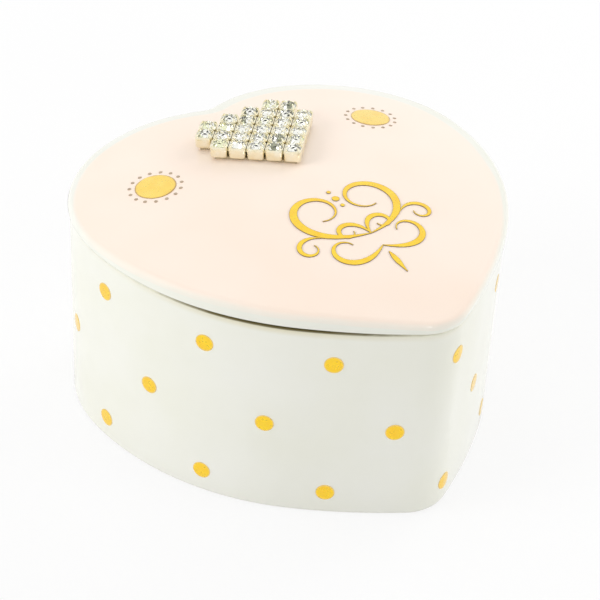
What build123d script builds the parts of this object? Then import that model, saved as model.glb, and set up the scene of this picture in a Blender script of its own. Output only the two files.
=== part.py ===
from build123d import *
from math import asin, atan2, cos, degrees, pi, radians, sin, sqrt
import os

os.makedirs("parts", exist_ok=True)

# A heart-shaped glazed keepsake box: a hollow body and a domed lift-off lid.
# Millimetres and degrees. The tip of the heart points to -Y, the cleft to +Y,
# and the origin is under the middle of the heart, on the face that it stands on.

# Outline of the heart: tangent arcs from the tip round to the cleft
tip_radius = 8.9
side_radius = 109.0
shoulder_radius = 52.2
lobe_radius = 27.0
cleft_radius = 3.2
tip_turn = 29.1
side_turn = 10.9
shoulder_turn = 49.0

# Body
wall_height = 40.7
wall_thickness = 3.5
floor_thickness = 4.0
floor_rounding = 3.0
foot_rounding = 0.9
mouth_rounding = 0.6

# Lid
seam_gap = 0.25
lid_overhang = 0.35
lid_edge_height = 1.225
lid_top_rounding = 1.4
lid_top_rounding_share = 1.15
lid_lower_rounding = 0.5
lid_lower_rounding_share = 0.41
lid_thickness = 3.0
dome_radius = 170.0
dome_centre_share = 0.038
rim_clearance = 0.5
rim_thickness = 2.4
rim_depth = 3.0
rim_rounding = 0.8

# Fired gold: spots on the walls in three staggered rows, and two discs with bead rings
gold_thickness = 0.12
spot_radius = 1.7
spot_columns = 11
spot_first_share = 0.157
spot_row_shares = {"lower": 0.123, "middle": 0.479, "upper": 0.835}
disc_radius = 3.75
disc_x_share = 0.597
disc_y_share = 0.423
bead_radius = 0.33
bead_step = 1.0
bead_count = 15

# Scrollwork of fired gold on the front half of the lid
scroll_width = 28.0
scroll_hairline = 0.2
scroll_y_share = -0.327
scroll_steps = 24

# Stones in square cups, row beside row, glued on the lid as a small heart
stone_radius = 1.32
stone_fit = 0.04
table_radius = 0.78
culet_radius = 0.2
crown_height = 0.6
girdle_height = 0.15
stone_sides = 8
cup_wall = 0.2
cup_gap = 0.28
cup_height = 2.2
cup_bottom = 0.5
cup_corner = 0.6
cup_link_radius = 0.4
prong_radius = 0.34
prong_rise = 0.4
heart_y_share = 0.456
heart_turn = 2.6
glue_thickness = 0.25
glue_inset = 0.9

# First and last cup of each row, counted from the right-hand edge of the small heart
cup_rows = [(0, 4), (0, 5), (0, 5), (0, 4), (0, 3), (1, 2)]
middle_cell = 2

# One overrun serves every cut and every blank that is trimmed
overrun = 5.0


def direction(angle):
    return Vector(cos(radians(angle)), sin(radians(angle)))


# Arc centres of the right half: each lies on the line from the last centre to the joint
side_start = tip_turn - 90
shoulder_start = side_start + side_turn
lobe_start = shoulder_start + shoulder_turn
side_from_tip = direction(side_start) * (tip_radius - side_radius)
shoulder_from_tip = side_from_tip + direction(shoulder_start) * (side_radius - shoulder_radius)
lobe_from_tip = shoulder_from_tip + direction(lobe_start) * (shoulder_radius - lobe_radius)
tip_centre = Vector(0, (tip_radius - lobe_radius - lobe_from_tip.Y) / 2)
side_centre = tip_centre + side_from_tip
shoulder_centre = tip_centre + shoulder_from_tip
lobe_centre = tip_centre + lobe_from_tip
cleft_reach = sqrt((lobe_radius + cleft_radius) ** 2 - lobe_centre.X**2)
cleft_centre = Vector(0, lobe_centre.Y + cleft_reach)
lobe_end = degrees(atan2(cleft_reach, -lobe_centre.X))

# Each arc: centre, radius, first angle and turn. The cleft turns the other way.
right_arcs = [
    (tip_centre, tip_radius, -90, tip_turn),
    (side_centre, side_radius, side_start, side_turn),
    (shoulder_centre, shoulder_radius, shoulder_start, shoulder_turn),
    (lobe_centre, lobe_radius, lobe_start, lobe_end - lobe_start),
    (cleft_centre, cleft_radius, lobe_end + 180, 90 - lobe_end),
]
half_outline = sum(radius * radians(abs(turn)) for _, radius, _, turn in right_arcs)
half_width = shoulder_centre.X + shoulder_radius
half_length = tip_radius - tip_centre.Y


def outline_face():
    right = [CenterArc(centre, radius, first, turn) for centre, radius, first, turn in right_arcs]
    left = [arc.mirror(Plane.YZ) for arc in right]
    return Face(Wire(right + left))


heart = outline_face()


def heart_prism(inset, bottom, top):
    plan = offset(heart, amount=-inset, kind=Kind.INTERSECTION)
    return extrude(Pos(0, 0, bottom) * plan, amount=top - bottom)


# The dome is a piece of a large ball, so the lid's edge is lowest at the farthest point
# of its outline, which is on the lobes or at the tip
lid_bottom = wall_height + seam_gap
dome_centre_y = dome_centre_share * half_length
tip_reach = half_length + dome_centre_y
lobe_reach = lobe_radius + (lobe_centre - Vector(0, dome_centre_y)).length
dome_reach = lid_overhang + max(tip_reach, lobe_reach)
dome_rise = lid_edge_height + dome_radius - sqrt(dome_radius**2 - dome_reach**2)
dome_top = lid_bottom + dome_rise


def dome_ball(growth):
    centre = Pos(0, dome_centre_y, dome_top - dome_radius)
    return centre * Rot(0, 90, 0) * Sphere(dome_radius + growth)


def make_body():
    body = heart_prism(0, 0, wall_height)
    cavity = heart_prism(wall_thickness, floor_thickness, wall_height + overrun)
    cavity_floor = cavity.faces().sort_by(Axis.Z)[0]
    body -= fillet(cavity_floor.edges(), floor_rounding)
    foot = body.faces().sort_by(Axis.Z)[0]
    body = fillet(foot.edges(), foot_rounding)
    mouth = body.faces().filter_by(Axis.Z).sort_by(Axis.Z)[-1]
    return fillet(mouth.edges(), mouth_rounding)


# The lid is hollowed under its dome, and its rim drops inside the wall of the body
def make_lid():
    lid = heart_prism(-lid_overhang, lid_bottom, dome_top + overrun) & dome_ball(0)
    dome_edge = lid.faces().sort_by(Axis.Z)[-1].outer_wire().edges()
    lid = fillet(dome_edge, min(lid_top_rounding, lid_top_rounding_share * lid_edge_height))
    lower_edge = lid.faces().sort_by(Axis.Z)[0].edges()
    lid = fillet(lower_edge, min(lid_lower_rounding, lid_lower_rounding_share * lid_edge_height))
    rim_inset = wall_thickness + rim_clearance
    rim_bottom = lid_bottom - rim_depth
    rim = heart_prism(rim_inset, rim_bottom, lid_bottom + lid_edge_height / 2)
    rim = fillet(rim.faces().sort_by(Axis.Z)[0].edges(), rim_rounding)
    hollow = heart_prism(rim_inset + rim_thickness, rim_bottom - overrun, dome_top)
    return lid + rim - (hollow & dome_ball(-lid_thickness))


# The point at a distance along the outline from the tip, and the way out of the wall
def wall_place(distance):
    remaining = abs(distance)
    for centre, radius, first, turn in right_arcs:
        length = radius * radians(abs(turn))
        if remaining <= length:
            break
        remaining -= length
    spoke = direction(first + turn * remaining / length)
    point = centre + spoke * radius
    out = spoke if turn > 0 else spoke * -1
    side = 1 if distance >= 0 else -1
    return Vector(side * point.X, point.Y), Vector(side * out.X, out.Y)


def make_spots(height, stagger):
    spacing = 2 * half_outline / spot_columns
    skin = heart_prism(-gold_thickness, 0, wall_height) - heart_prism(0, 0, wall_height)
    spots = []
    for column in range(spot_columns):
        distance = (column + stagger + spot_first_share) * spacing
        if distance > half_outline:
            distance -= 2 * half_outline
        point, out = wall_place(distance)
        inner_end = Vector(point.X, point.Y, height) - out * spot_radius
        disc = Plane(origin=inner_end, z_dir=out) * Circle(spot_radius)
        spots += (skin & extrude(disc, amount=2 * spot_radius)).solids()
    return Compound(spots)


# A flat sketch becomes a thin layer of gold that follows the dome
def gold_on_dome(sketch):
    column = extrude(Pos(0, 0, lid_bottom) * sketch, amount=dome_rise + overrun, dir=(0, 0, 1))
    return (column & dome_ball(gold_thickness)) - dome_ball(0)


def disc_place(side):
    return Pos(side * disc_x_share * half_width, disc_y_share * half_length)


def make_disc(side):
    return gold_on_dome(disc_place(side) * Circle(disc_radius))


def make_bead_ring(side):
    ring = PolarLocations(disc_radius + bead_step, bead_count)
    beads = [gold_on_dome(disc_place(side) * place * Circle(bead_radius)) for place in ring]
    return Compound([solid for bead in beads for solid in bead.solids()])


# Scrolls of the right half, mirrored to the left one. Start, length and greatest width
# are shares of the scrollwork's width; the heading turns faster or slower along the way.
scroll_shares = [
    {"x": 0, "y": -0.129, "length": 1.18, "width": 0.054, "heading": 8, "bends": (60, 690)},
    {"x": 0, "y": -0.129, "length": 0.446, "width": 0.036, "heading": 82, "bends": (-60, -640)},
    {"x": 0.307, "y": -0.021, "length": 0.429, "width": 0.032, "heading": 38, "bends": (-120, -560)},
    {"x": 0, "y": -0.257, "length": 0.625, "width": 0.043, "heading": -32, "bends": (20, 560)},
]
drop_shares = {"x": 0, "y": -0.321, "length": 0.196, "width": 0.039, "heading": -90, "bends": (0, 0)}

# Pearls in a line above them: place and radius
pearl_shares = [(0.186, 0.0143), (0.264, 0.025), (0.343, 0.0143)]


def scroll_face(shares):
    point = Vector(shares["x"], shares["y"]) * scroll_width
    stride = shares["length"] * scroll_width / scroll_steps
    swell = shares["width"] * scroll_width - scroll_hairline
    first_bend, last_bend = shares["bends"]
    left = []
    right = []
    for step in range(scroll_steps + 1):
        done = step / scroll_steps
        heading = shares["heading"] + first_bend * done + (last_bend - first_bend) * done**2 / 2
        fullness = sin(pi * min(done**0.8, 1)) ** 1.5 if step < scroll_steps else 0
        half = (scroll_hairline + swell * fullness) / 2
        left.append(point + direction(heading + 90) * half)
        right.append(point - direction(heading + 90) * half)
        bend = first_bend + (last_bend - first_bend) * done
        point += direction(heading + bend / scroll_steps / 2) * stride
    sides = [Spline(left), Spline(right)]
    ends = [Line(left[0], right[0]), Line(left[-1], right[-1])]
    return Face(Wire(sides + ends))


def make_scrollwork():
    middle = Pos(0, scroll_y_share * half_length)
    layers = []
    for shares in scroll_shares:
        layer = gold_on_dome(middle * scroll_face(shares))
        layers += [layer, mirror(layer, about=Plane.YZ)]
    layers.append(gold_on_dome(middle * scroll_face(drop_shares)))
    for y_share, radius_share in pearl_shares:
        pearl = Pos(0, y_share * scroll_width) * Circle(radius_share * scroll_width)
        layers.append(gold_on_dome(middle * pearl))
    scrollwork = layers[0]
    for layer in layers[1:]:
        scrollwork += layer
    return scrollwork


# The small heart of stones lies flat on a plane that touches the dome under its middle
cup_width = 2 * (stone_radius + stone_fit + cup_wall)
cell_pitch = cup_width + cup_gap
heart_y = heart_y_share * half_length
heart_back = heart_y - dome_centre_y
heart_level = dome_top - dome_radius + sqrt(dome_radius**2 - heart_back**2)
heart_lean = degrees(asin(heart_back / dome_radius))
heart_place = Pos(0, heart_y, heart_level) * Rot(-heart_lean, 0, heart_turn + 45)
girdle_level = cup_height - girdle_height


# Rows lie one behind the other towards the right lobe, their cups towards the left one
def cell_centre(row, cup):
    return Pos((row - middle_cell) * cell_pitch, (cup - middle_cell) * cell_pitch, glue_thickness)


def make_cup():
    cup = extrude(RectangleRounded(cup_width, cup_width, cup_corner), amount=cup_height)
    seat_radius = stone_radius + stone_fit
    seat_depth = girdle_level - cup_bottom
    seat = Cone(culet_radius + stone_fit, seat_radius, seat_depth)
    cup -= Pos(0, 0, girdle_level - seat_depth / 2) * seat
    cup -= Pos(0, 0, girdle_level + overrun / 2) * Cylinder(seat_radius, overrun)
    prong_height = girdle_height + prong_rise
    for quarter in range(4):
        place = direction(90 * quarter + 45) * (seat_radius + prong_radius)
        foot = Pos(place.X, place.Y, girdle_level)
        cup += foot * Pos(0, 0, prong_height / 2) * Cylinder(prong_radius, prong_height)
        cup += foot * Pos(0, 0, prong_height) * Sphere(prong_radius)
    return cup


# A cut stone: pointed back, thin girdle, crown with a flat table
def make_stone():
    levels = [
        (cup_bottom + 2 * stone_fit, culet_radius),
        (girdle_level + stone_fit, stone_radius),
        (girdle_level + stone_fit + girdle_height, stone_radius),
        (girdle_level + stone_fit + girdle_height + crown_height, table_radius),
    ]
    rings = [Pos(0, 0, level) * RegularPolygon(radius, stone_sides) for level, radius in levels]
    return loft(rings, ruled=True)


# The cups of a row are joined by short links, as in a length of cup chain
def make_cup_row(row):
    first, last = cup_rows[row]
    link = Rot(90, 0, 0) * Cylinder(cup_link_radius, cup_gap + cup_wall)
    chain = cell_centre(row, first) * cup_shape
    for cup in range(first + 1, last + 1):
        chain += cell_centre(row, cup) * cup_shape
        chain += cell_centre(row, cup) * Pos(0, -cell_pitch / 2, cup_height / 2) * link
    return heart_place * chain


def make_stone_row(row):
    first, last = cup_rows[row]
    places = [heart_place * cell_centre(row, cup) for cup in range(first, last + 1)]
    return Compound([place * stone_shape for place in places])


# Clear glue fills the wedge between the flat cups and the dome
def make_glue_bed():
    cells = [(row, cup) for row, (first, last) in enumerate(cup_rows) for cup in range(first, last + 1)]
    tile = Rectangle(cell_pitch + stone_fit, cell_pitch + stone_fit)
    plan = cell_centre(*cells[0]) * tile
    for row, cup in cells[1:]:
        plan += cell_centre(row, cup) * tile
    plan = offset(plan, amount=-glue_inset, kind=Kind.INTERSECTION)
    return heart_place * extrude(plan, amount=-overrun) - dome_ball(0)


cup_shape = make_cup()
stone_shape = make_stone()

nodes = {
    "box_body": make_body(),
    "lid": make_lid(),
    "left_gold_disc": make_disc(-1),
    "right_gold_disc": make_disc(1),
    "left_bead_ring": make_bead_ring(-1),
    "right_bead_ring": make_bead_ring(1),
    "gold_scrollwork": make_scrollwork(),
    "stone_heart_glue_bed": make_glue_bed(),
}
for name, height_share in spot_row_shares.items():
    stagger = 0.5 if name == "middle" else 0
    nodes[f"side_spots_{name}"] = make_spots(height_share * wall_height, stagger)
for row in range(len(cup_rows)):
    nodes[f"cup_row_{row + 1}"] = make_cup_row(row)
    nodes[f"stone_row_{row + 1}"] = make_stone_row(row)

for name, shape in nodes.items():
    export_step(shape, f"parts/{name}.step")
    size = shape.bounding_box().size
    print(name, len(shape.solids()), round(size.X, 2), round(size.Y, 2), round(size.Z, 2))
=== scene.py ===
import bmesh
import bpy
import random
from math import asin, atan2, ceil, cos, degrees, radians, sin, sqrt, tan
from mathutils import Matrix, Vector


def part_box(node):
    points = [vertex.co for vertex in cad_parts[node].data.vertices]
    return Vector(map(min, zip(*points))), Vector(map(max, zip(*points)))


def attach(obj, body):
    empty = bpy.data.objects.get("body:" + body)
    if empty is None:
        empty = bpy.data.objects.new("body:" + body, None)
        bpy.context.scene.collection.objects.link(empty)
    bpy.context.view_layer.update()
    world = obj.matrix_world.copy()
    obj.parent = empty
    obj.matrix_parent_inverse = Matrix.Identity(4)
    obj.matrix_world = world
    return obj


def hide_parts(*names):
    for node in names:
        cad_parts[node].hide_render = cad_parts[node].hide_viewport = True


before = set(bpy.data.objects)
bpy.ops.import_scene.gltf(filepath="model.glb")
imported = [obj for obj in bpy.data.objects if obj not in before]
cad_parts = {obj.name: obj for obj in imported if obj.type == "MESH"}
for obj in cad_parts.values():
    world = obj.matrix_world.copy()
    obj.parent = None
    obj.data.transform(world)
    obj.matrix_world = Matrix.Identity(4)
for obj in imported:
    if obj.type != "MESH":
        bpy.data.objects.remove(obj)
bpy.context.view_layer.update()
mm = 0.001

# Outline of the heart: tangent arcs from the tip, round the right half, to the cleft
heart = {
    "tipRadius": 8.9 * mm, "sideRadius": 109 * mm, "shoulderRadius": 52.2 * mm,
    "lobeRadius": 27 * mm, "cleftRadius": 3.2 * mm,
    "tipTurn": 29.1, "sideTurn": 10.9, "shoulderTurn": 49.0,
    "chord": 1.3 * mm,  # longest straight piece of the drawn outline
    "chordTurn": 3.0,  # and the most that it turns between two pieces
    "finestTurn": 1.2,  # and about the least
}


def direction(angle):
    return Vector((cos(radians(angle)), sin(radians(angle))))


def heartArcs():  # each arc's centre, radius, starting angle and turn
    sideStart = heart["tipTurn"] - 90
    shoulderStart = sideStart + heart["sideTurn"]
    lobeStart = shoulderStart + heart["shoulderTurn"]
    tip, side, shoulder = heart["tipRadius"], heart["sideRadius"], heart["shoulderRadius"]
    lobe, cleft = heart["lobeRadius"], heart["cleftRadius"]
    sideOffset = direction(sideStart) * (tip - side)
    shoulderOffset = sideOffset + direction(shoulderStart) * (side - shoulder)
    lobeOffset = shoulderOffset + direction(lobeStart) * (shoulder - lobe)
    tipCentre = Vector((0, (tip - lobe - lobeOffset.y) / 2))
    lobeCentre = tipCentre + lobeOffset
    reach = sqrt((lobe + cleft) ** 2 - lobeCentre.x ** 2)
    lobeEnd = degrees(atan2(reach, -lobeCentre.x))
    return [
        (tipCentre, tip, -90, heart["tipTurn"]),
        (tipCentre + sideOffset, side, sideStart, heart["sideTurn"]),
        (tipCentre + shoulderOffset, shoulder, shoulderStart, heart["shoulderTurn"]),
        (lobeCentre, lobe, lobeStart, lobeEnd - lobeStart),
        (Vector((0, lobeCentre.y + reach)), cleft, lobeEnd + 180, 90 - lobeEnd),
    ]


arcs = heartArcs()
halfOutline = sum(radius * radians(abs(turn)) for _, radius, _, turn in arcs)
halfLength = heart["tipRadius"] - arcs[0][0].y
halfWidth = arcs[2][0].x + heart["shoulderRadius"]


def edgeDepth(x, y):  # how far inside the outline a point is
    point = Vector((abs(x), y))
    for centre, radius, start, turn in arcs[:-1]:
        away = point - centre
        end = direction(start + turn)
        if end.x * away.y - end.y * away.x <= 0:
            return radius - away.length
    centre, radius = arcs[-1][:2]
    return (point - centre).length - radius


def wallPlace(distance):  # the point that far along the outline from the tip, and the way out
    left = abs(distance)
    for centre, radius, start, turn in arcs:
        length = radius * radians(abs(turn))
        if left <= length:
            break
        left -= length
    spoke = direction(start + turn * left / length)
    point = centre + spoke * radius
    out = spoke if turn > 0 else -spoke
    side = 1 if distance >= 0 else -1
    return Vector((side * point.x, point.y)), Vector((side * out.x, out.y))


# Small helpers for modelling
tolerance = {
    "near": 0.02 * mm, "loose": 0.05 * mm,  # what counts as the same place
    "merge": 0.002 * mm, "outline": 0.005 * mm, "mirror": 0.01 * mm,  # points merged into one
    "cut": 0.001 * mm,  # points that lie on a cutting plane
}


def near(a, b, within=tolerance["near"]):
    return abs(a - b) < within


def depthOf(vert):
    return edgeDepth(vert.co.x, vert.co.y)


def selectNothing():
    if bpy.context.object and bpy.context.object.mode == "EDIT":
        bpy.ops.object.mode_set(mode="OBJECT")
    bpy.ops.object.select_all(action="DESELECT")


def selectOnly(obj):
    selectNothing()
    bpy.context.view_layer.objects.active = obj
    obj.select_set(True)


def editMode(obj):
    selectOnly(obj)
    bpy.ops.object.mode_set(mode="EDIT")
    bpy.ops.mesh.select_mode(type="VERT")


def objectMode():
    bpy.ops.object.mode_set(mode="OBJECT")


def selectWhere(obj, kind, test):  # kind is verts, edges or faces
    bpy.ops.mesh.select_all(action="DESELECT")
    bpy.ops.mesh.select_mode(type={"verts": "VERT", "edges": "EDGE", "faces": "FACE"}[kind])
    mesh = bmesh.from_edit_mesh(obj.data)
    for item in getattr(mesh, kind):
        if test(item):
            item.select_set(True)
    mesh.select_flush_mode()
    bmesh.update_edit_mesh(obj.data)


def atLevel(level):  # a test for the edges or faces at that height
    return lambda item: all(near(vert.co.z, level) for vert in item.verts)


def pull(x=0.0, y=0.0, z=0.0):
    bpy.ops.mesh.extrude_region_move(TRANSFORM_OT_translate={"value": (x, y, z)})


def inset(thickness):
    bpy.ops.mesh.inset(thickness=thickness, use_even_offset=True)


def bevel(width, segments):
    bpy.ops.mesh.bevel(offset=width, segments=segments, profile=0.5, affect="EDGES")


def roundLoop(obj, level, depth, width, segments):  # rounds the edges at that height and depth
    def onLoop(edge):
        return atLevel(level)(edge) and all(
            near(depthOf(vert), depth, tolerance["loose"]) for vert in edge.verts)

    selectWhere(obj, "edges", onLoop)
    bevel(width, segments)


def cleanMesh(merge):  # merges doubles, turns the faces outwards and leaves edit mode
    bpy.ops.mesh.select_all(action="SELECT")
    bpy.ops.mesh.remove_doubles(threshold=merge)
    bpy.ops.mesh.normals_make_consistent(inside=False)
    objectMode()


def closeUp(obj, angle=35):  # cleans the mesh and smooths all but the edges sharper than this
    editMode(obj)
    cleanMesh(tolerance["merge"])
    bpy.ops.object.shade_smooth_by_angle(angle=radians(angle))


def applyPlace(obj):
    selectOnly(obj)
    bpy.ops.object.transform_apply(location=True, rotation=True, scale=True)


def applyModifier(obj, kind, **settings):
    selectOnly(obj)
    modifier = obj.modifiers.new(kind.lower(), kind)
    for setting, value in settings.items():
        setattr(modifier, setting, value)
    bpy.ops.object.modifier_apply(modifier=modifier.name)


def addToScene(name, data):
    obj = bpy.data.objects.new(name, data)
    bpy.context.scene.collection.objects.link(obj)
    return obj


def copyOf(obj, matrix):  # a copy with its own mesh, put in place there
    copy = addToScene(obj.name + "Copy", obj.data.copy())
    copy.data.transform(matrix)
    return copy


def moved(obj, place):  # a copy of a patch, each point put where place says
    copy = copyOf(obj, Matrix())
    for vert in copy.data.vertices:
        vert.co = place(*vert.co)
    return copy


def throwAway(obj):
    bpy.data.objects.remove(obj, do_unlink=True)


def joined(name, parts):
    selectOnly(parts[0])
    for part in parts:
        part.select_set(True)
    bpy.ops.object.join()
    obj = bpy.context.object
    obj.name = name
    obj.data.name = name
    return obj


def setAttribute(obj, name, domain, values):
    made = obj.data.attributes.get(name) or obj.data.attributes.new(name, "FLOAT", domain)
    made.data.foreach_set("value", values)


def paint(obj, *materials):
    obj.data.materials.clear()
    for material in materials:
        obj.data.materials.append(material)


def settle(obj, body, slotName, *nodes):  # rides on its body, in place of its CAD nodes
    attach(obj, body)
    if nodes:
        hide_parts(*nodes)


# One point is spun round each arc's centre in turn, then mirrored and filled
def heartFace(name, grow, level):
    selectNothing()
    bpy.ops.mesh.primitive_plane_add(size=mm, location=(0, 0, 0))
    obj = bpy.context.object
    obj.name = name
    obj.data.name = name
    editMode(obj)
    bpy.ops.mesh.select_all(action="SELECT")
    bpy.ops.mesh.merge(type="CENTER")
    bpy.ops.transform.translate(value=(0, -halfLength - grow, level))
    for centre, radius, start, turn in arcs:
        length = radius * radians(abs(turn))
        steps = ceil(max(length / heart["chord"], abs(turn) / heart["chordTurn"]))
        steps = min(steps, ceil(abs(turn) / heart["finestTurn"]))
        bpy.ops.mesh.spin(
            steps=steps, angle=-radians(turn), center=(centre.x, centre.y, level),
            axis=(0, 0, 1))
    objectMode()
    applyModifier(obj, "MIRROR", merge_threshold=tolerance["mirror"])
    editMode(obj)
    bpy.ops.mesh.select_all(action="SELECT")
    bpy.ops.mesh.remove_doubles(threshold=tolerance["outline"])
    bpy.ops.mesh.edge_face_add()
    return obj


# Small helpers for materials
def newMaterial(name):
    material = bpy.data.materials.new(name)
    material.use_nodes = True
    return material, material.node_tree, material.node_tree.nodes["Principled BSDF"]


def feed(tree, node, inputs):  # each input gets a value, or a link from another node
    for socket, value in inputs.items():
        if isinstance(value, bpy.types.NodeSocket):
            tree.links.new(value, node.inputs[socket])
        else:
            node.inputs[socket].default_value = value


def addNode(tree, kind, inputs=None, **settings):
    node = tree.nodes.new("ShaderNode" + kind)
    for setting, value in settings.items():
        setattr(node, setting, value)
    feed(tree, node, inputs or {})
    return node


def noise(tree, scale, detail=2.0, stretch=None):
    place = addNode(tree, "TexCoord").outputs["Object"]
    if stretch:
        place = addNode(tree, "Mapping", {"Vector": place, "Scale": stretch}).outputs["Vector"]
    inputs = {"Vector": place, "Scale": scale, "Detail": detail}
    return addNode(tree, "TexNoise", inputs).outputs["Fac"]


def spread(tree, value, low, high, fromLow=0.3, fromHigh=0.7, smooth=False):
    made = addNode(tree, "MapRange", {
        "Value": value, "From Min": fromLow, "From Max": fromHigh, "To Min": low, "To Max": high})
    if smooth:
        made.interpolation_type = "SMOOTHSTEP"
    return made.outputs["Result"]


def blendColours(tree, factor, first, second):
    inputs = {0: factor, 6: first, 7: second}
    return addNode(tree, "Mix", inputs, data_type="RGBA").outputs[2]


def maths(tree, operation, *values):
    return addNode(tree, "Math", dict(enumerate(values)), operation=operation).outputs[0]


def relief(tree, *layers):  # each layer is a height, its depth in metres and its strength
    last = None
    for height, depth, strength in layers:
        made = addNode(tree, "Bump", {"Height": height, "Distance": depth, "Strength": strength})
        if last:
            tree.links.new(last, made.inputs["Normal"])
        last = made.outputs["Normal"]
    return last


def attribute(tree, name):
    return addNode(tree, "Attribute", attribute_name=name).outputs["Fac"]


def colour(red, green, blue):  # from the values 0 to 255 that a picture shows
    def linear(value):
        value /= 255
        return value / 12.92 if value <= 0.04045 else ((value + 0.055) / 1.055) ** 2.4
    return (linear(red), linear(green), linear(blue), 1.0)


# Camera: it looks down on the box from the front left, turned slightly
camera = {
    "azimuth": -35.421, "elevation": 36.721, "roll": 2.904, "distance": 387.892 * mm,
    "aimHeight": 20 * mm, "slideRight": -5.409 * mm, "slideUp": -0.062 * mm,
    "focalPixels": 2063.908, "imageSide": 600, "sensor": 36.0,
    "shiftPixels": (18.58, 8.8), "clip": (10 * mm, 20.0),
}


def makeCamera():
    azimuth, elevation, roll = (
        radians(camera[key]) for key in ("azimuth", "elevation", "roll"))
    back = Vector((
        sin(azimuth) * cos(elevation), -cos(azimuth) * cos(elevation), sin(elevation)))
    level = Vector((cos(azimuth), sin(azimuth), 0))
    upright = back.cross(level)
    right = level * cos(roll) + upright * sin(roll)
    up = upright * cos(roll) - level * sin(roll)
    data = bpy.data.cameras.new("camera")
    data.sensor_width = camera["sensor"]
    data.lens = camera["focalPixels"] / camera["imageSide"] * camera["sensor"]
    data.shift_x, data.shift_y = (
        shift / camera["imageSide"] for shift in camera["shiftPixels"])
    data.clip_start, data.clip_end = camera["clip"]
    place = Vector((0, 0, camera["aimHeight"])) + back * camera["distance"]
    place += right * camera["slideRight"] + up * camera["slideUp"]
    obj = addToScene("camera", data)
    obj.matrix_world = Matrix.Translation(place) @ Matrix((right, up, back)).transposed().to_4x4()
    bpy.context.scene.camera = obj


makeCamera()
print("camera placed")


# Studio: lamps above, behind, at the sides and in front, a pale world and a white table
studio = {
    "worldStrength": 0.49,
    "lamps": [  # name, place, size, power in watts
        ("overhead", (-0.05, 0.25, 0.75), 0.7, 1.0),
        ("backBox", (0.20, 0.85, 0.22), 0.35, 0.9),
        ("leftBox", (-0.73, 0.20, 0.42), 0.6, 3.3),
        ("rightBox", (0.70, 0.15, 0.35), 0.6, 2.2),
        ("frontFill", (0.54, -0.54, 0.30), 0.4, 1.4),
        ("catchLight", (-0.06, -0.72, 0.33), 0.12, 0.33),
    ],
    "aimHeight": 30 * mm,
    "mirrored": "catchLight",  # the only lamp that the glaze reflects, so no white patches
    "tableSide": 4.0, "tableColour": (0.9, 0.9, 0.9, 1.0),
    "tableRoughness": 0.9, "tableShine": 0.1, "tableGlow": 0.8,
}


def seenAsWhite(tree):  # 1 where the camera, a reflection or a view through glass meets it
    seen = addNode(tree, "LightPath").outputs
    direct = maths(tree, "MAXIMUM", seen["Is Camera Ray"], seen["Is Transmission Ray"])
    return maths(tree, "MAXIMUM", direct, seen["Is Glossy Ray"])


def makeWorld():
    world = bpy.data.worlds.new("paleRoom")
    bpy.context.scene.world = world
    world.use_nodes = True
    tree = world.node_tree
    strength = spread(tree, seenAsWhite(tree), studio["worldStrength"], 1.0, 0.0, 1.0)
    feed(tree, tree.nodes["Background"], {"Color": (1, 1, 1, 1), "Strength": strength})


def makeLamps():
    aim = Vector((0, 0, studio["aimHeight"]))
    for name, place, size, power in studio["lamps"]:
        data = bpy.data.lights.new(name, "AREA")
        data.shape, data.size, data.energy = "DISK", size, power
        lamp = addToScene(name, data)
        lamp.location = place
        lamp.visible_glossy = name == studio["mirrored"]
        lamp.rotation_euler = (Vector(place) - aim).to_track_quat("Z", "Y").to_euler()


def makeTable():
    selectNothing()
    bpy.ops.mesh.primitive_plane_add(size=studio["tableSide"], location=(0, 0, 0))
    table = bpy.context.object
    table.name = "table"
    material, tree, shader = newMaterial("whiteTable")
    feed(tree, shader, {
        "Base Color": studio["tableColour"], "Roughness": studio["tableRoughness"],
        "Specular IOR Level": studio["tableShine"]})
    glow = addNode(tree, "Emission", {"Color": (1, 1, 1, 1), "Strength": 1.0})
    share = maths(tree, "MULTIPLY", seenAsWhite(tree), studio["tableGlow"])
    white = addNode(tree, "MixShader", {0: share, 1: shader.outputs[0], 2: glow.outputs[0]})
    tree.links.new(white.outputs[0], tree.nodes["Material Output"].inputs["Surface"])
    paint(table, material)


bpy.context.scene.view_settings.view_transform = "Standard"
makeWorld()
makeLamps()
makeTable()
print("studio ready")


# White glaze, a little warmer where it lies thick, over a cast body
whiteGlaze = {
    "thin": colour(241, 241, 233), "thick": colour(237, 237, 224), "cloudScale": 45.0,
    # Two colours here are painted light at the joint: the dark one is painted shade in the gap,
    # the warm one a painted reflection just below it
    "bisque": colour(232, 226, 212), "jointShade": colour(126, 116, 78),
    "warmReflection": colour(226, 219, 188), "warmReflectionStrength": 0.8,
    "waveScale": 95.0, "waveDepth": 0.035 * mm, "waveStrength": 0.6,
    "peelScale": 1100.0, "peelDepth": 0.0035 * mm, "peelStrength": 0.5,
    "ior": 1.52, "roughness": (0.07, 0.13), "roughnessScale": 160.0, "bareRoughness": 0.8,
    "footLine": 0.35 * mm,  # the glaze is wiped off below this height
    "footSway": 0.3 * mm, "footScale": 260.0, "footBlur": 0.05 * mm,
    "jointShadeFrom": 0.35, "jointShadeFull": 0.85,  # shares of the joint's gape
    "jointShadeSway": 0.06, "jointShadeScale": 380.0,
}

# The joint gapes at the front left, where painted shade darkens it most, and is nearly shut
# elsewhere
joint = {
    "gapesTowards": -136, "narrowness": 8, "lift": 0.26 * mm, "sag": 0.16 * mm,
}


def gape(x, y):  # 1 where the joint is widest, 0 across from there
    turn = atan2(y, x) - radians(joint["gapesTowards"])
    return (0.5 + 0.5 * cos(turn)) ** joint["narrowness"]


def markJointShade(obj, isInJoint):
    values = [gape(*vert.co.xy) if isInJoint(vert) else 0.0 for vert in obj.data.vertices]
    setAttribute(obj, "jointShade", "POINT", values)
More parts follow.
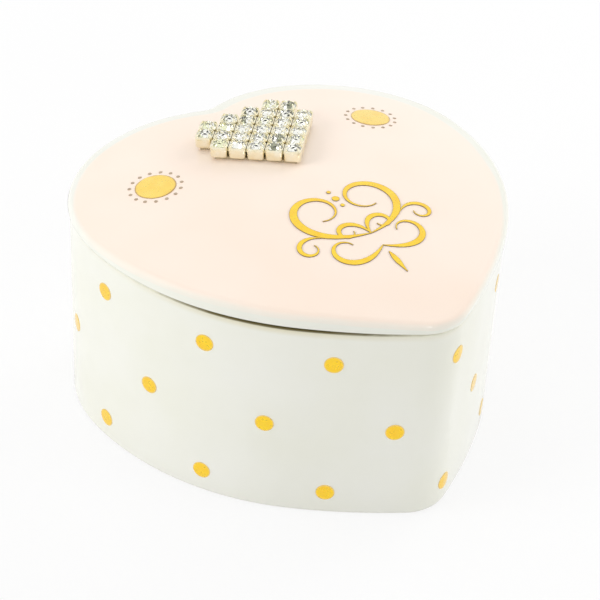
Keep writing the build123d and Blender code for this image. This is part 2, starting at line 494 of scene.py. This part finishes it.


# The glaze ends just above the foot; a painted warm reflection and the joint's painted shade grow
# from their levels to the one where both are full
def makeWhiteGlaze(name, foot, shadeStartLevel, paintedFullLevel, warmReflectionLevel):
    glaze = whiteGlaze
    material, tree, shader = newMaterial(name)
    cloud = spread(tree, noise(tree, glaze["cloudScale"], 3.0), 0.0, 1.0)
    tone = blendColours(tree, cloud, glaze["thin"], glaze["thick"])

    place = addNode(tree, "TexCoord").outputs["Object"]
    height = addNode(tree, "SeparateXYZ", {0: place}).outputs["Z"]
    footSway, line, blur = glaze["footSway"], glaze["footLine"], glaze["footBlur"]
    footNoise = noise(tree, glaze["footScale"], 3.0)
    ragged = maths(tree, "MULTIPLY_ADD", footNoise, footSway, foot - footSway / 2)
    aboveFoot = maths(tree, "SUBTRACT", height, ragged)
    bare = spread(tree, aboveFoot, 1.0, 0.0, line - blur, line + blur)
    tone = blendColours(tree, bare, tone, glaze["bisque"])

    # Painted reflection: a warm cream tint grows towards the joint where it gapes
    jointShadeMask = attribute(tree, "jointShade")
    fade = spread(tree, height, 0.0, glaze["warmReflectionStrength"], warmReflectionLevel, paintedFullLevel, smooth=True)
    tone = blendColours(tree, maths(tree, "MULTIPLY", jointShadeMask, fade), tone, glaze["warmReflection"])
    # Painted shade: the dark line of the joint, strongest where the joint gapes
    sway = spread(tree, noise(tree, glaze["jointShadeScale"]), -glaze["jointShadeSway"], glaze["jointShadeSway"])
    uneven = maths(tree, "ADD", jointShadeMask, sway)
    thick = spread(tree, uneven, 0.0, 1.0, glaze["jointShadeFrom"], glaze["jointShadeFull"])
    low = spread(tree, height, 0.0, 1.0, shadeStartLevel, paintedFullLevel)
    tone = blendColours(tree, maths(tree, "MULTIPLY", thick, low), tone, glaze["jointShade"])

    gloss = spread(tree, noise(tree, glaze["roughnessScale"]), *glaze["roughness"])
    matt = maths(tree, "MULTIPLY", bare, glaze["bareRoughness"])
    waves = noise(tree, glaze["waveScale"], 1.5)
    peel = noise(tree, glaze["peelScale"])
    feed(tree, shader, {
        "Base Color": tone, "IOR": glaze["ior"],
        "Roughness": maths(tree, "MAXIMUM", gloss, matt),
        "Normal": relief(
            tree, (waves, glaze["waveDepth"], glaze["waveStrength"]),
            (peel, glaze["peelDepth"], glaze["peelStrength"]))})
    return material


# Box: the heart is pulled up, hollowed from above, and its edges are rounded as glaze leaves them
boxBody = {
    "wall": 3.5 * mm, "floor": 4.0 * mm,
    "footRounding": 0.9 * mm, "mouthRounding": 0.6 * mm, "floorRounding": 3.0 * mm,
    "footSteps": 6, "mouthSteps": 5, "floorSteps": 8,
    "jointShadeDepth": 0.7 * mm,  # inwards from the wall's outside, over the rounded mouth
    "shadeStart": 0.32 * mm, "paintedFull": 0.18 * mm, "warmReflection": 1.6 * mm,  # below the mouth
}


def makeBox():
    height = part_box("box_body")[1].z
    wall, floor = boxBody["wall"], boxBody["floor"]
    obj = heartFace("glazedBox", 0, 0)
    pull(z=height)
    inset(wall)
    pull(z=floor - height)
    roundLoop(obj, floor, wall, boxBody["floorRounding"], boxBody["floorSteps"])
    roundLoop(obj, height, wall, boxBody["mouthRounding"], boxBody["mouthSteps"])
    roundLoop(obj, height, 0, boxBody["mouthRounding"], boxBody["mouthSteps"])
    roundLoop(obj, 0, 0, boxBody["footRounding"], boxBody["footSteps"])
    closeUp(obj)
    # Painted shade on the mouth's outer rounding, strongest where the joint gapes
    markJointShade(obj, lambda vert: depthOf(vert) < boxBody["jointShadeDepth"])
    levels = [height - boxBody[key] for key in ("shadeStart", "paintedFull", "warmReflection")]
    paint(obj, makeWhiteGlaze("glazedWhite", 0.0, *levels))
    settle(obj, "base", "glazed_body", "box_body")


makeBox()
print("box made")


# Lid: a plate with a rolled edge under a low dome, and a rim below that drops into the box
lid = {
    "overhang": 0.35 * mm, "thickness": 3.0 * mm, "topRounding": 1.4 * mm,
    "lowerRounding": 0.5 * mm, "rimInset": 4.0 * mm, "rimWall": 2.4 * mm, "rimRounding": 0.8 * mm,
    "seam": 0.25 * mm, "ballRadius": 170 * mm, "ballCentreShare": 0.038,
    "rollTurn": 76, "rollSteps": 7, "roundingSteps": 4,
    "rings": (0.5, 0.5, 0.6, 0.7, 0.9, 1.2, 1.5),  # millimetres from ring to ring
    "gridStep": 2.6 * mm, "gridSlack": 0.01 * mm,
    "flatTop": 2 * mm, "flatCeiling": 1 * mm,  # above the seam, before both are domed
    "edgeWidth": 1 * mm,  # inwards from the walls' outside
    "jointShadeHeight": 0.06 * mm,  # above the seam
    "shadeStart": 0.16 * mm, "paintedFull": 0.04 * mm, "warmReflection": 0.3 * mm,  # above the lifted edge
}
lid["centreY"] = lid["ballCentreShare"] * halfLength
lid["top"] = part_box("lid")[1].z
lid["seamLevel"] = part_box("box_body")[1].z + lid["seam"]

# Pink glaze, sprayed on the dome from the front left: its white margin widens to the far right
pinkGlaze = {
    "pink": colour(255, 240, 226), "deeper": colour(254, 234, 217), "cloudScale": 38.0,
    "margin": 1.45 * mm, "leastMargin": 0.4 * mm, "widening": 0.065, "widensTowards": 55,
    "begins": -0.5 * mm, "full": 0.5 * mm,  # inwards from the margin
    "ragged": 0.5 * mm, "raggedScale": 110.0,
    "offTop": -1.5 * mm,  # the same measure for points that aren't on the top
    "noFoot": -1.0,  # far below, so that no part of the lid is bare
}


def domeLevel(x, y, growth=0.0):
    ball = lid["ballRadius"]
    return lid["top"] - ball + sqrt((ball + growth) ** 2 - x ** 2 - (y - lid["centreY"]) ** 2)


def lidTopLevel(x, y):  # the dome, rolled over at the lid's edge
    depth = max(edgeDepth(x, y) + lid["overhang"], 0)
    level = domeLevel(x, y)
    slope = asin(sqrt(x ** 2 + (y - lid["centreY"]) ** 2) / lid["ballRadius"])
    radius = lid["topRounding"]
    if depth < radius * (1 - sin(slope)):
        roll = radius - depth
        level += roll * tan(slope) - radius / cos(slope) + sqrt(radius ** 2 - roll ** 2)
    return level


def crossCut(obj, level, leastDepth):  # cuts a flat face into a grid, so that it can be domed
    def inside(face):
        return atLevel(level)(face) and all(
            depthOf(vert) > leastDepth - lid["gridSlack"] for vert in face.verts)

    reach = ceil(halfWidth / lid["gridStep"])
    for normal in ((1, 0, 0), (0, 1, 0)):
        for step in range(-reach, reach + 1):
            selectWhere(obj, "faces", inside)
            place = Vector(normal) * step * lid["gridStep"]
            bpy.ops.mesh.bisect(plane_co=place, plane_no=normal, threshold=tolerance["cut"])


def shapeLid():
    seamLevel, overhang = lid["seamLevel"], lid["overhang"]
    flatTop, ceiling = seamLevel + lid["flatTop"], seamLevel + lid["flatCeiling"]
    rimOuter, rimInner = lid["rimInset"], lid["rimInset"] + lid["rimWall"]
    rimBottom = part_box("lid")[0].z
    obj = heartFace("glazedLid", overhang, seamLevel)
    pull(z=flatTop - seamLevel)
    steps, turn = lid["rollSteps"], radians(lid["rollTurn"])
    rolled = [lid["topRounding"] * (1 - cos(turn * step / steps)) for step in range(steps + 1)]
    for outer, inner in zip(rolled, rolled[1:]):
        inset(inner - outer)
    for ring in lid["rings"]:
        inset(ring * mm)
    crossCut(obj, flatTop, rolled[-1] + sum(lid["rings"]) * mm - overhang)

    selectWhere(obj, "faces", atLevel(seamLevel))
    inset(overhang + rimOuter)
    pull(z=rimBottom - seamLevel)
    inset(lid["rimWall"])
    pull(z=ceiling - rimBottom)
    crossCut(obj, ceiling, rimInner)

    mesh = bmesh.from_edit_mesh(obj.data)
    for vert in mesh.verts:
        if near(vert.co.z, flatTop):
            vert.co.z = lidTopLevel(vert.co.x, vert.co.y)
        elif near(vert.co.z, ceiling):
            vert.co.z = domeLevel(vert.co.x, vert.co.y, -lid["thickness"])
    bmesh.update_edit_mesh(obj.data)

    roundLoop(obj, seamLevel, -overhang, lid["lowerRounding"], lid["roundingSteps"])
    for depth in (rimOuter, rimInner):
        roundLoop(obj, rimBottom, depth, lid["rimRounding"], lid["roundingSteps"])
    closeUp(obj)
    return obj


def whiteMargin(x, y):
    across = Vector((x, y)).dot(direction(pinkGlaze["widensTowards"]))
    return max(pinkGlaze["leastMargin"], pinkGlaze["margin"] + pinkGlaze["widening"] * across)


def markPink(obj):  # how far inwards from the margin each point lies
    depths = []
    for vert in obj.data.vertices:
        x, y, z = vert.co
        onTop = z > lidTopLevel(x, y) - tolerance["loose"]
        inwards = edgeDepth(x, y) + lid["overhang"] - whiteMargin(x, y)
        depths.append(inwards if onTop else pinkGlaze["offTop"])
    setAttribute(obj, "pinkDepth", "POINT", depths)


def openJoint(obj):  # the lid's lower edge rises where the joint gapes, and sinks elsewhere
    highest = lid["seamLevel"] + lid["lowerRounding"] + tolerance["loose"]
    for vert in obj.data.vertices:
        if vert.co.z < highest and depthOf(vert) < lid["edgeWidth"]:
            vert.co.z += gape(*vert.co.xy) * (joint["lift"] + joint["sag"]) - joint["sag"]


def makePinkGlaze():
    edge = lid["seamLevel"] + joint["lift"]
    levels = [edge + lid[key] for key in ("shadeStart", "paintedFull", "warmReflection")]
    material = makeWhiteGlaze("glazedPinkAndWhite", pinkGlaze["noFoot"], *levels)
    tree = material.node_tree
    target = tree.nodes["Principled BSDF"].inputs["Base Color"]
    white = target.links[0].from_socket
    sway = maths(tree, "MULTIPLY", noise(tree, pinkGlaze["raggedScale"], 3.0), pinkGlaze["ragged"])
    depth = maths(tree, "ADD", attribute(tree, "pinkDepth"), sway)
    cover = spread(tree, depth, 0.0, 1.0, pinkGlaze["begins"], pinkGlaze["full"], smooth=True)
    cloud = spread(tree, noise(tree, pinkGlaze["cloudScale"]), 0.0, 1.0)
    mist = blendColours(tree, cloud, pinkGlaze["pink"], pinkGlaze["deeper"])
    tree.links.new(blendColours(tree, cover, white, mist), target)
    return material


def makeLid():
    obj = shapeLid()
    # Painted shade on the lid's lower edge, strongest where the joint gapes
    jointShadeTop = lid["seamLevel"] + lid["jointShadeHeight"]
    markPink(obj)
    markJointShade(obj, lambda vert: vert.co.z < jointShadeTop and depthOf(vert) < lid["edgeWidth"])
    openJoint(obj)
    paint(obj, makePinkGlaze())
    settle(obj, "lid", "glazed_lid", "lid")


makeLid()
print("lid made")


# Fired gold: a thin bright layer whose edge burns darker, under a glassy skin
gold = {
    "height": 0.1 * mm, "buried": 0.03 * mm, "edge": 0.08 * mm, "crown": 0.015 * mm,
    "smoothAngle": 60, "rimSway": 0.03,
    "metallic": 0.65, "mottleScale": 420.0, "roughness": (0.24, 0.34), "roughnessScale": 900.0,
    "strokeScale": 1500.0, "strokeStretch": (1.0, 0.25, 1.0),
    "strokeDepth": 0.002 * mm, "strokeStrength": 0.5,
    "skinIor": 1.55, "skinRoughness": 0.06,  # the skin whitens the gold seen from the side
}


def makeFiredGold(name, fill, deep, line, lineFrom):
    material, tree, shader = newMaterial(name)
    mottle = spread(tree, noise(tree, gold["mottleScale"], 3.0), 0.0, 1.0)
    bright = blendColours(tree, mottle, fill, deep)
    sway = spread(tree, noise(tree, gold["mottleScale"]), -gold["rimSway"], gold["rimSway"])
    rim = maths(tree, "ADD", attribute(tree, "rim"), sway)
    edge = spread(tree, rim, 0.0, 1.0, lineFrom, 1.0, smooth=True)
    strokes = noise(tree, gold["strokeScale"], stretch=gold["strokeStretch"])
    feed(tree, shader, {
        "Base Color": blendColours(tree, edge, bright, line), "Metallic": gold["metallic"],
        "Roughness": spread(tree, noise(tree, gold["roughnessScale"]), *gold["roughness"]),
        "Specular IOR Level": 0.0, "Coat Weight": 1.0, "Coat IOR": gold["skinIor"],
        "Coat Roughness": gold["skinRoughness"],
        "Normal": relief(tree, (strokes, gold["strokeDepth"], gold["strokeStrength"]))})
    return material


def goldPatch(name, radius, sides, rings):  # a round patch, flat side down, a little crowned
    selectNothing()
    bpy.ops.mesh.primitive_circle_add(
        vertices=sides, radius=radius, fill_type="NGON", location=(0, 0, 0))
    obj = bpy.context.object
    obj.name = name
    editMode(obj)
    bpy.ops.mesh.select_all(action="SELECT")
    bpy.ops.transform.translate(value=(0, 0, -gold["buried"]))
    pull(z=gold["buried"] + gold["height"] - 2 * gold["crown"])
    inset(gold["edge"] * min(1, radius / mm))
    bpy.ops.transform.translate(value=(0, 0, gold["crown"]))
    for _ in range(rings):
        inset((radius - gold["edge"]) / (rings + 1))
    bpy.ops.transform.translate(value=(0, 0, gold["crown"]))
    closeUp(obj, gold["smoothAngle"])
    rim = [vert.co.to_2d().length / radius for vert in obj.data.vertices]
    setAttribute(obj, "rim", "POINT", rim)
    return obj


# Spots on the walls: three rows, the middle one half a step on from the others
sideSpots = {
    "radius": 1.7 * mm, "sides": 36, "rings": 3, "columns": 11, "firstShare": 0.157,
    "rows": {  # share of the wall's height, and how many steps on the row begins
        "lower": (0.123, 0.0), "middle": (0.479, 0.5), "upper": (0.835, 0.0)},
    "fill": colour(255, 213, 0), "deep": colour(254, 203, 0), "line": colour(244, 208, 112),
    "lineFrom": 0.8,
}


def onWall(start, level):  # a place on the wall for each point of a patch
    def place(along, up, height):
        point, out = wallPlace(start + along)
        point = point + out * height
        return Vector((point.x, point.y, level + up))
    return place


def makeSideSpots():
    spacing = 2 * halfOutline / sideSpots["columns"]
    patch = goldPatch("sideSpot", sideSpots["radius"], sideSpots["sides"], sideSpots["rings"])
    material = makeFiredGold(
        "firedGoldSpots", *(sideSpots[key] for key in ("fill", "deep", "line", "lineFrom")))
    for row, (share, stagger) in sideSpots["rows"].items():
        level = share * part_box("box_body")[1].z
        spots = []
        for column in range(sideSpots["columns"]):
            start = (column + stagger + sideSpots["firstShare"]) * spacing
            start -= 2 * halfOutline if start > halfOutline else 0
            spots.append(moved(patch, onWall(start, level)))
        obj = joined("goldSpots" + row.capitalize(), spots)
        paint(obj, material)
        settle(obj, "base", "fired_gold", "side_spots_" + row)
    throwAway(patch)


makeSideSpots()
print("side spots made")


# Two discs on the lid, each in a ring of small beads
discs = {
    "radius": 3.75 * mm, "sides": 64, "rings": 6, "xShare": 0.597, "yShare": 0.423,
    "fill": colour(255, 222, 102), "deep": colour(252, 212, 84), "line": colour(190, 154, 86),
    "lineFrom": 0.92,
}
beads = {
    "radius": 0.33 * mm, "sides": 14, "rings": 1, "step": 1.0 * mm, "count": 15,
    "fill": colour(200, 178, 150), "deep": colour(176, 154, 126), "lineFrom": 0.9,
}


def onDome(centre):  # a place on the dome for each point of a patch
    def place(x, y, height):
        point = centre + Vector((x, y))
        return Vector((point.x, point.y, domeLevel(point.x, point.y) + height))
    return place


def makeDiscs():
    disc = goldPatch("goldDisc", discs["radius"], discs["sides"], discs["rings"])
    bead = goldPatch("goldBead", beads["radius"], beads["sides"], beads["rings"])
    discGold = makeFiredGold(
        "firedGoldDisc", *(discs[key] for key in ("fill", "deep", "line", "lineFrom")))
    beadGold = makeFiredGold(
        "firedGoldBead", *(beads[key] for key in ("fill", "deep", "deep", "lineFrom")))
    for side, name in ((-1, "left"), (1, "right")):
        centre = Vector((side * discs["xShare"] * halfWidth, discs["yShare"] * halfLength))
        obj = moved(disc, onDome(centre))
        obj.name = name + "GoldDisc"
        paint(obj, discGold)
        settle(obj, "lid", "fired_gold", name + "_gold_disc")
        spokes = [direction(360 * step / beads["count"]) for step in range(beads["count"])]
        reach = discs["radius"] + beads["step"]
        obj = joined(name + "BeadRing", [
            moved(bead, onDome(centre + spoke * reach)) for spoke in spokes])
        paint(obj, beadGold)
        settle(obj, "lid", "fired_gold", name + "_bead_ring")
    throwAway(disc)
    throwAway(bead)


makeDiscs()
print("discs and bead rings made")


# Scrollwork: the gold lies inside a fine dark line
scrollwork = {
    "lineWidth": 0.11 * mm, "lineFrom": 0.3, "topFacing": 0.5,
    "fill": colour(255, 218, 44), "deep": colour(252, 204, 32), "line": colour(118, 92, 58),
}


def makeScrollwork():
    obj = addToScene("goldScrollwork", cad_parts["gold_scrollwork"].data.copy())
    closeUp(obj)
    bpy.ops.mesh.customdata_custom_splitnormals_clear()
    editMode(obj)
    selectWhere(obj, "faces", lambda face: face.normal.z > scrollwork["topFacing"])
    inset(scrollwork["lineWidth"])
    objectMode()
    rim = [1.0] * len(obj.data.vertices)
    for face in obj.data.polygons:
        if face.select:
            for corner in face.vertices:
                rim[corner] = 0.0
    setAttribute(obj, "rim", "POINT", rim)
    closeUp(obj)
    paint(obj, makeFiredGold(
        "firedGoldScrolls", *(scrollwork[key] for key in ("fill", "deep", "line", "lineFrom"))))
    settle(obj, "lid", "fired_gold", "gold_scrollwork")


makeScrollwork()
print("scrollwork made")


# The small heart of stones lies on a plane that touches the dome under its middle
stoneHeart = {
    "yShare": 0.456, "turn": 47.6, "glue": 0.25 * mm, "pitch": 3.4 * mm, "middleCell": 2,
    "rows": [(0, 4), (0, 5), (0, 5), (0, 4), (0, 3), (1, 2)],  # first and last cup of each
    "seed": 7,
}


def heartPlace():
    y = stoneHeart["yShare"] * halfLength
    lean = asin((y - lid["centreY"]) / lid["ballRadius"])
    spot = Matrix.Translation((0, y, domeLevel(0, y)))
    turn = Matrix.Rotation(radians(stoneHeart["turn"]), 4, "Z")
    return spot @ Matrix.Rotation(-lean, 4, "X") @ turn


def cellPlace(row, cup):
    middle, pitch = stoneHeart["middleCell"], stoneHeart["pitch"]
    shift = Vector(((row - middle) * pitch, (cup - middle) * pitch, stoneHeart["glue"]))
    return heartPlace() @ Matrix.Translation(shift)


# Cut stone: a blank is trimmed one facet after another, as on a lapidary's wheel
stone = {
    "radius": 1.46 * mm, "sides": 48, "girdleLow": 2.1 * mm, "girdle": 0.1 * mm,
    "crown": 0.62 * mm, "culetLevel": 0.6 * mm, "mains": 8,
    "kiteSlope": 42.0, "starSlope": 25.0, "upperSlope": 45.5,
    "mainSlope": 50.0, "lowerSlope": 52.5,
    "merge": 0.004 * mm, "cut": 0.0001 * mm, "tilt": 1.2,
    "foilFacing": -0.1,  # facets that face further down than this are foiled
}


def trim(azimuth, slope, radius, level):  # cuts off what is outside a facet's plane
    around = direction(azimuth)
    steep = sin(radians(slope))
    rise = cos(radians(slope)) * (1 if slope > 0 else -1)
    normal = Vector((around.x * abs(steep), around.y * abs(steep), rise))
    bpy.ops.mesh.select_all(action="SELECT")
    bpy.ops.mesh.bisect(
        plane_co=(around.x * radius, around.y * radius, level), plane_no=normal,
        use_fill=True, clear_outer=True, threshold=stone["cut"])


def makeStone():
    radius, low = stone["radius"], stone["girdleLow"]
    high = low + stone["girdle"]
    top = high + stone["crown"]
    selectNothing()
    bpy.ops.mesh.primitive_cylinder_add(
        vertices=stone["sides"], radius=radius, depth=top - stone["culetLevel"],
        location=(0, 0, (top + stone["culetLevel"]) / 2))
    obj = bpy.context.object
    obj.name = "stone"
    applyPlace(obj)
    editMode(obj)
    table = radius - stone["crown"] / tan(radians(stone["kiteSlope"]))
    step = 360 / stone["mains"]
    for main in range(stone["mains"]):
        trim(step * main, stone["kiteSlope"], radius, high)
        trim(step * (main + 0.5), stone["starSlope"], table * cos(radians(step / 2)), top)
        trim(step * main, -stone["mainSlope"], radius, low)
        for side in (-0.25, 0.25):
            trim(step * (main + side), stone["upperSlope"], radius, high)
            trim(step * (main + side), -stone["lowerSlope"], radius, low)
    cleanMesh(stone["merge"])
    return obj


glassAndFoil = {
    "glass": (0.985, 0.995, 0.97, 1.0), "ior": 1.6,
    "glassRoughness": (0.0, 0.03), "glassScale": 2600.0,
    # Painted glints: each foiled facet gets one of these tones at random, standing in for the
    # room's reflections
    "bright": (0.98, 0.97, 0.93, 1.0), "green": (0.90, 0.91, 0.64, 1.0),
    "dark": (0.30, 0.31, 0.22, 1.0), "darkShare": 0.035, "greenShare": 0.2,
    "foilRoughness": (0.03, 0.1), "foilScale": 1800.0,
}


def makeCutGlass():
    material, tree, shader = newMaterial("cutGlass")
    haze = noise(tree, glassAndFoil["glassScale"], 1.0)
    feed(tree, shader, {
        "Base Color": glassAndFoil["glass"], "Transmission Weight": 1.0,
        "IOR": glassAndFoil["ior"],
        "Roughness": spread(tree, haze, *glassAndFoil["glassRoughness"])})
    return material


# Painted reflections: the foil's colour comes from a random painted glint tone on each facet
def makeFoil():  # the mirror on the back of each stone: facets catch the room differently
    material, tree, shader = newMaterial("stoneFoil")
    shade = addNode(tree, "ValToRGB", {"Fac": attribute(tree, "facetGlint")})
    darkShare, greenShare = glassAndFoil["darkShare"], glassAndFoil["greenShare"]
    ramp = shade.color_ramp
    ramp.interpolation = "CONSTANT"
    ramp.elements[0].color = glassAndFoil["dark"]
    ramp.elements[1].position, ramp.elements[1].color = darkShare, glassAndFoil["green"]
    ramp.elements.new(darkShare + greenShare).color = glassAndFoil["bright"]
    haze = noise(tree, glassAndFoil["foilScale"])
    feed(tree, shader, {
        "Base Color": shade.outputs["Color"], "Metallic": 1.0,
        "Roughness": spread(tree, haze, *glassAndFoil["foilRoughness"])})
    return material


def makeStones():
    stoneShape = makeStone()
    chance = random.Random(stoneHeart["seed"])
    paint(stoneShape, makeCutGlass(), makeFoil())
    for face in stoneShape.data.polygons:
        face.material_index = 1 if face.normal.z < stone["foilFacing"] else 0
    for row, (first, last) in enumerate(stoneHeart["rows"]):
        parts = []
        for cup in range(first, last + 1):
            turn = Matrix.Rotation(radians(chance.uniform(0, 360 / stone["mains"])), 4, "Z")
            sway = Matrix.Rotation(radians(chance.uniform(-1, 1) * stone["tilt"]), 4, "X")
            copy = copyOf(stoneShape, cellPlace(row, cup) @ sway @ turn)
            glints = [chance.random() for _ in copy.data.polygons]
            setAttribute(copy, "facetGlint", "FACE", glints)
            parts.append(copy)
        obj = joined(f"stoneRow{row + 1}", parts)
        settle(obj, "lid", "cut_glass", f"stone_row_{row + 1}")
    throwAway(stoneShape)


makeStones()
print("stones cut and set")


# Square cups, drawn from thin sheet, with four claws bent over the stone and links between cups
cupSetting = {
    "width": 3.12 * mm, "height": 2.2 * mm, "flare": 1.05, "smoothAngle": 40,
    "corner": 0.6 * mm, "cornerSteps": 5, "lowerRounding": 0.3 * mm, "lowerSteps": 4,
    "lip": 0.03 * mm, "lipSteps": 2,
    "seat": 1.47 * mm, "seatSides": 48, "seatLevel": 2.05 * mm,
    "seatBottom": 0.5 * mm, "seatBottomRadius": 0.25 * mm,
}
claw = {
    "radius": 0.25 * mm, "sides": 12, "length": 0.6 * mm, "sunk": 0.2 * mm, "reach": 1.7 * mm,
    "bends": [  # rise, way inwards and share of the width, in millimetres
        (0.25, 0.03, 0.94), (0.17, 0.12, 0.86), (0.11, 0.2, 0.78), (0.03, 0.18, 0.55)],
    "smoothAngle": 50,
}
link = {"radius": 0.4 * mm, "sides": 14, "length": 0.6 * mm, "smoothAngle": 50}


def makeClaw():
    selectNothing()
    bpy.ops.mesh.primitive_cylinder_add(
        vertices=claw["sides"], radius=claw["radius"], depth=claw["length"],
        location=(claw["reach"], 0, cupSetting["seatLevel"] - claw["sunk"]))
    obj = bpy.context.object
    applyPlace(obj)
    editMode(obj)
    x, z = claw["reach"], max(vert.co.z for vert in obj.data.vertices)
    selectWhere(obj, "faces", atLevel(z))
    for rise, inwards, share in claw["bends"]:
        pull(x=-inwards * mm, z=rise * mm)
        x, z = x - inwards * mm, z + rise * mm
        bpy.ops.transform.resize(value=(share, share, 1), center_override=(x, 0, z))
    closeUp(obj, claw["smoothAngle"])
    return obj


def makeSeatCutter():
    low, high = cupSetting["seatBottom"], cupSetting["seatLevel"]
    selectNothing()
    bpy.ops.mesh.primitive_cone_add(
        vertices=cupSetting["seatSides"], radius1=cupSetting["seatBottomRadius"],
        radius2=cupSetting["seat"], depth=high - low, location=(0, 0, (low + high) / 2))
    cutter = bpy.context.object
    applyPlace(cutter)
    editMode(cutter)
    selectWhere(cutter, "faces", atLevel(high))
    pull(z=cupSetting["height"])
    objectMode()
    return cutter


def makeCup():
    width, height = cupSetting["width"], cupSetting["height"]
    selectNothing()
    bpy.ops.mesh.primitive_cube_add(size=1, location=(0, 0, height / 2))
    cup = bpy.context.object
    cup.name = "cup"
    cup.scale = (width, width, height)
    applyPlace(cup)
    editMode(cup)
    selectWhere(
        cup, "edges", lambda edge: abs(edge.verts[0].co.z - edge.verts[1].co.z) > height / 2)
    bevel(cupSetting["corner"], cupSetting["cornerSteps"])
    selectWhere(cup, "edges", atLevel(0))
    bevel(cupSetting["lowerRounding"], cupSetting["lowerSteps"])
    selectWhere(cup, "verts", lambda vert: near(vert.co.z, height))
    flare = cupSetting["flare"]
    bpy.ops.transform.resize(value=(flare, flare, 1), center_override=(0, 0, height))
    objectMode()
    cutter = makeSeatCutter()
    applyModifier(cup, "BOOLEAN", object=cutter, operation="DIFFERENCE", solver="EXACT")
    throwAway(cutter)
    editMode(cup)
    selectWhere(cup, "edges", atLevel(height))
    bevel(cupSetting["lip"], cupSetting["lipSteps"])
    closeUp(cup, cupSetting["smoothAngle"])
    shape = makeClaw()
    turns = [Matrix.Rotation(radians(90 * quarter + 45), 4, "Z") for quarter in range(4)]
    claws = [copyOf(shape, turn) for turn in turns]
    throwAway(shape)
    return joined("cup", [cup] + claws)


def makeLink():
    selectNothing()
    bpy.ops.mesh.primitive_cylinder_add(
        vertices=link["sides"], radius=link["radius"], depth=link["length"],
        location=(0, -stoneHeart["pitch"] / 2, cupSetting["height"] / 2),
        rotation=(radians(90), 0, 0))
    obj = bpy.context.object
    applyPlace(obj)
    closeUp(obj, link["smoothAngle"])
    return obj


plating = {
    "bright": (0.94, 0.91, 0.76, 1.0), "worn": (0.91, 0.82, 0.57, 1.0), "wearScale": 700.0,
    "roughness": (0.12, 0.26), "roughnessScale": 1300.0,
    "scratchScale": 2400.0, "scratchStretch": (1.0, 1.0, 0.12),
    "scratchDepth": 0.004 * mm, "scratchStrength": 0.5,
}


def makePlating():
    material, tree, shader = newMaterial("cupPlating")
    wear = spread(tree, noise(tree, plating["wearScale"], 3.0), 0.0, 1.0)
    scratches = noise(tree, plating["scratchScale"], 1.0, plating["scratchStretch"])
    feed(tree, shader, {
        "Base Color": blendColours(tree, wear, plating["bright"], plating["worn"]),
        "Metallic": 1.0,
        "Roughness": spread(tree, noise(tree, plating["roughnessScale"]), *plating["roughness"]),
        "Normal": relief(
            tree, (scratches, plating["scratchDepth"], plating["scratchStrength"]))})
    return material


def makeCups():
    cup, cupLink = makeCup(), makeLink()
    material = makePlating()
    for row, (first, last) in enumerate(stoneHeart["rows"]):
        parts = [copyOf(cup, cellPlace(row, number)) for number in range(first, last + 1)]
        parts += [
            copyOf(cupLink, cellPlace(row, number)) for number in range(first + 1, last + 1)]
        obj = joined(f"cupRow{row + 1}", parts)
        paint(obj, material)
        settle(obj, "lid", "cup_metal", f"cup_row_{row + 1}")
    throwAway(cup)
    throwAway(cupLink)


makeCups()
print("cups made")


# Glue under the cups, uneven where it was pressed out: its brown tint and low clearness are
# painted shadow under the cups
clearGlue = {
    "shadowTint": (0.86, 0.72, 0.48, 1.0), "clearness": 0.35, "ior": 1.48,
    "roughness": (0.12, 0.3), "roughnessScale": 800.0,
    "waveScale": 650.0, "waveDepth": 0.05 * mm, "waveStrength": 0.8,
}


def makeGlue():
    material, tree, shader = newMaterial("clearGlue")
    haze = noise(tree, clearGlue["roughnessScale"])
    waves = noise(tree, clearGlue["waveScale"])
    feed(tree, shader, {
        "Base Color": clearGlue["shadowTint"], "Transmission Weight": clearGlue["clearness"],
        "IOR": clearGlue["ior"], "Roughness": spread(tree, haze, *clearGlue["roughness"]),
        "Normal": relief(tree, (waves, clearGlue["waveDepth"], clearGlue["waveStrength"]))})
    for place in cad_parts["stone_heart_glue_bed"].material_slots:
        place.material = material


makeGlue()
print("glue finished")
